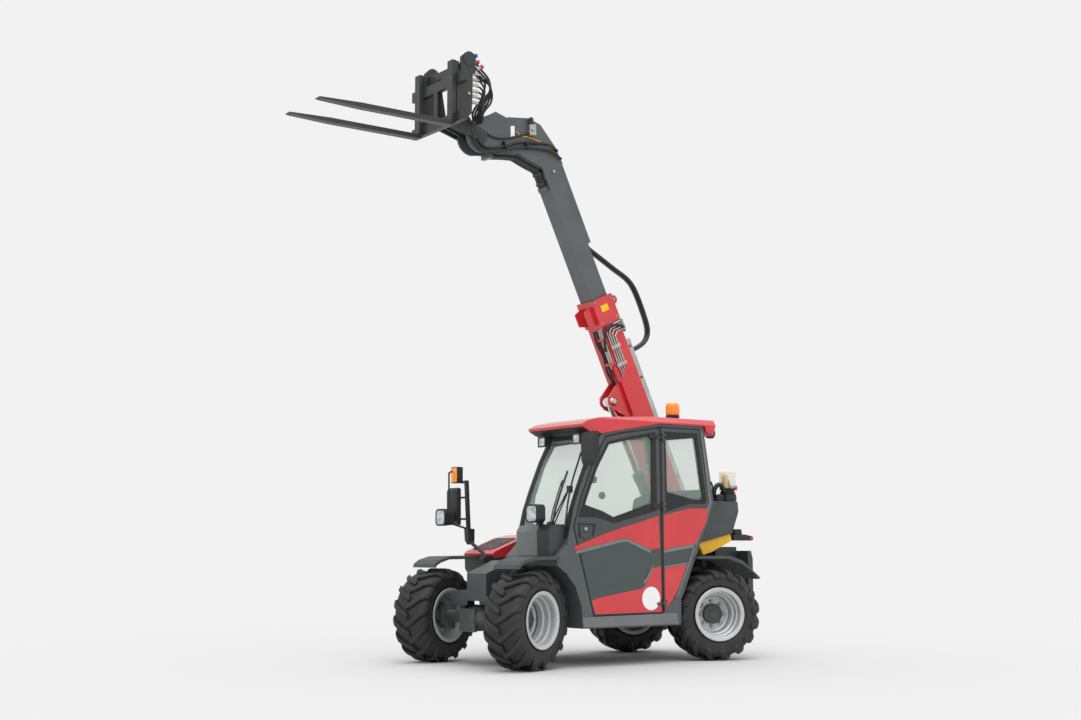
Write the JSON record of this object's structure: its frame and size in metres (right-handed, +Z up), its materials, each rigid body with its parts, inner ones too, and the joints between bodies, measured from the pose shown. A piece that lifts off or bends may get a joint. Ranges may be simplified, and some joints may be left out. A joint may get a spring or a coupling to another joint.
{
  "type": "telehandler",
  "caption": "Compact telehandler with a high cab, telescopic boom raised and extended, quick hitch with pallet forks, and steered wheels front and rear.",
  "frame": {"origin": "centre of the whole part's box, on the ground", "axes": "+X forward, the way the forks point; +Y to the driver's left; +Z up"},
  "size_m": [4.3454, 1.8148, 5.2031],
  "materials": {
    "frame_paint": "satin",
    "red_paint": "gloss",
    "boom_paint": "satin",
    "black_paint": "satin",
    "rim_paint": "satin",
    "axle_casting": "matte",
    "bare_steel": "satin",
    "chrome_rod": "polished",
    "black_plastic": "matte",
    "grey_plastic": "matte",
    "yellow_plastic": "gloss",
    "lamp_lens": "gloss",
    "tyre_rubber": "matte",
    "hose_rubber": "matte",
    "seat_cover": "satin",
    "glass": "gloss"
  },
  "bodies": {
    "chassis": {"chassis_frame": "frame_paint", "counterweight": "frame_paint", "tow_hitch": "frame_paint", "front_axle": "axle_casting", "rear_axle": "axle_casting", "engine_bay": "frame_paint", "engine_block": "axle_casting", "cab_frame": "frame_paint", "cab_roof": "red_paint", "quarter_panel": "red_paint", "cab_glass": "glass", "cab_seat": "seat_cover", "steering_column": "black_plastic", "cab_cowl": "black_plastic", "fenders": "grey_plastic", "rear_tank": "grey_plastic", "yellow_cover": "yellow_plastic", "precleaner": "black_plastic", "lamps": "lamp_lens", "mirrors": "black_plastic", "wiper": "black_plastic"},
    "hood": {"engine_hood": "red_paint"},
    "door": {"cab_door": "red_paint", "door_glass": "glass"},
    "outer_boom": {"boom_outer": "red_paint", "boom_pipes": "bare_steel", "hose_loop": "hose_rubber"},
    "inner_boom": {"boom_inner": "boom_paint", "head_hoses": "hose_rubber"},
    "carriage": {"quick_hitch": "black_paint", "fork_carriage": "black_paint", "fork_tines": "black_paint"},
    "lift_cylinder": {"lift_barrel": "frame_paint"},
    "lift_piston": {"lift_rod": "chrome_rod"},
    "tilt_cylinder": {"tilt_barrel": "frame_paint"},
    "tilt_piston": {"tilt_rod": "chrome_rod"},
    "steer_fl": {"knuckle_fl": "axle_casting"},
    "wheel_fl": {"tyre_fl": "tyre_rubber", "rim_fl": "rim_paint"},
    "steer_fr": {"knuckle_fr": "axle_casting"},
    "wheel_fr": {"tyre_fr": "tyre_rubber", "rim_fr": "rim_paint"},
    "steer_rl": {"knuckle_rl": "axle_casting"},
    "wheel_rl": {"tyre_rl": "tyre_rubber", "rim_rl": "rim_paint"},
    "steer_rr": {"knuckle_rr": "axle_casting"},
    "wheel_rr": {"tyre_rr": "tyre_rubber", "rim_rr": "rim_paint"}
  },
  "joints": [
    {"name": "boom_lift", "type": "hinge", "parent": "chassis", "child": "outer_boom", "pos_m": [-1.81666, -0.14, 1.3], "axis": [0, -1, 0], "range_deg": [-74.5, 2.5]},
    {"name": "boom_extend", "type": "slide", "parent": "outer_boom", "child": "inner_boom", "axis": [0.4305, 0, 0.9026], "range_m": [-0.9, 0.05], "deforming": ["hose_loop"]},
    {"name": "fork_tilt", "type": "hinge", "parent": "inner_boom", "child": "carriage", "pos_m": [0.48066, -0.14, 4.54621], "axis": [0, 1, 0], "range_deg": [-95, 37]},
    {"name": "lift_cylinder_swing", "type": "hinge", "parent": "chassis", "child": "lift_cylinder", "pos_m": [-1.83266, -0.14, 0.7], "axis": [0, -1, 0], "range_deg": [-59, 2.1]},
    {"name": "lift_rod_stroke", "type": "slide", "parent": "lift_cylinder", "child": "lift_piston", "axis": [0.4593, 0, 0.8883], "range_m": [-0.603, 0.021]},
    {"name": "tilt_cylinder_swing", "type": "hinge", "parent": "inner_boom", "child": "tilt_cylinder", "pos_m": [-0.26765, -0.14, 4.59402], "axis": [0, -1, 0], "range_deg": [-1.9, 4.8]},
    {"name": "tilt_rod_stroke", "type": "slide", "parent": "tilt_cylinder", "child": "tilt_piston", "axis": [0.9943, 0, 0.1063], "range_m": [-0.258, 0.1005]},
    {"name": "hood_hinge", "type": "hinge", "parent": "chassis", "child": "hood", "pos_m": [-1.53866, -0.375, 1.05], "axis": [0, -1, 0], "range_deg": [0, 55]},
    {"name": "door_hinge", "type": "hinge", "parent": "chassis", "child": "door", "pos_m": [-0.86366, 0.778, 1.328], "axis": [0, 0, 1], "range_deg": [0, 110]},
    {"name": "steer_front_left", "type": "hinge", "parent": "chassis", "child": "steer_fl", "pos_m": [0.51234, 0.527, 0.4], "axis": [0, 0, 1], "range_deg": [-53.3, 14.7]},
    {"name": "spin_front_left", "type": "hinge", "parent": "steer_fl", "child": "wheel_fl", "pos_m": [0.51234, 0.527, 0.4], "axis": [-0.3305, 0.9438, 0], "continuous": true},
    {"name": "steer_front_right", "type": "hinge", "parent": "chassis", "child": "steer_fr", "pos_m": [0.51234, -0.527, 0.4], "axis": [0, 0, 1], "range_deg": [-53.3, 14.7]},
    {"name": "spin_front_right", "type": "hinge", "parent": "steer_fr", "child": "wheel_fr", "pos_m": [0.51234, -0.527, 0.4], "axis": [-0.3305, 0.9438, 0], "continuous": true},
    {"name": "steer_rear_left", "type": "hinge", "parent": "chassis", "child": "steer_rl", "pos_m": [-1.57766, 0.527, 0.4], "axis": [0, 0, 1], "range_deg": [-14.7, 53.3]},
    {"name": "spin_rear_left", "type": "hinge", "parent": "steer_rl", "child": "wheel_rl", "pos_m": [-1.57766, 0.527, 0.4], "axis": [0.3305, 0.9438, 0], "continuous": true},
    {"name": "steer_rear_right", "type": "hinge", "parent": "chassis", "child": "steer_rr", "pos_m": [-1.57766, -0.527, 0.4], "axis": [0, 0, 1], "range_deg": [-14.7, 53.3]},
    {"name": "spin_rear_right", "type": "hinge", "parent": "steer_rr", "child": "wheel_rr", "pos_m": [-1.57766, -0.527, 0.4], "axis": [0.3305, 0.9438, 0], "continuous": true}
  ],
  "couplings": [
    {"joint": "lift_cylinder_swing", "follows": "boom_lift", "ratio": 0.787},
    {"joint": "lift_rod_stroke", "follows": "boom_lift", "m_per_rad": 0.463},
    {"joint": "tilt_cylinder_swing", "follows": "fork_tilt", "ratio": -0.05},
    {"joint": "tilt_rod_stroke", "follows": "fork_tilt", "m_per_rad": 0.155},
    {"joint": "steer_front_right", "follows": "steer_front_left", "ratio": 1},
    {"joint": "steer_rear_left", "follows": "steer_front_left", "ratio": -1},
    {"joint": "steer_rear_right", "follows": "steer_front_left", "ratio": -1}
  ]
}
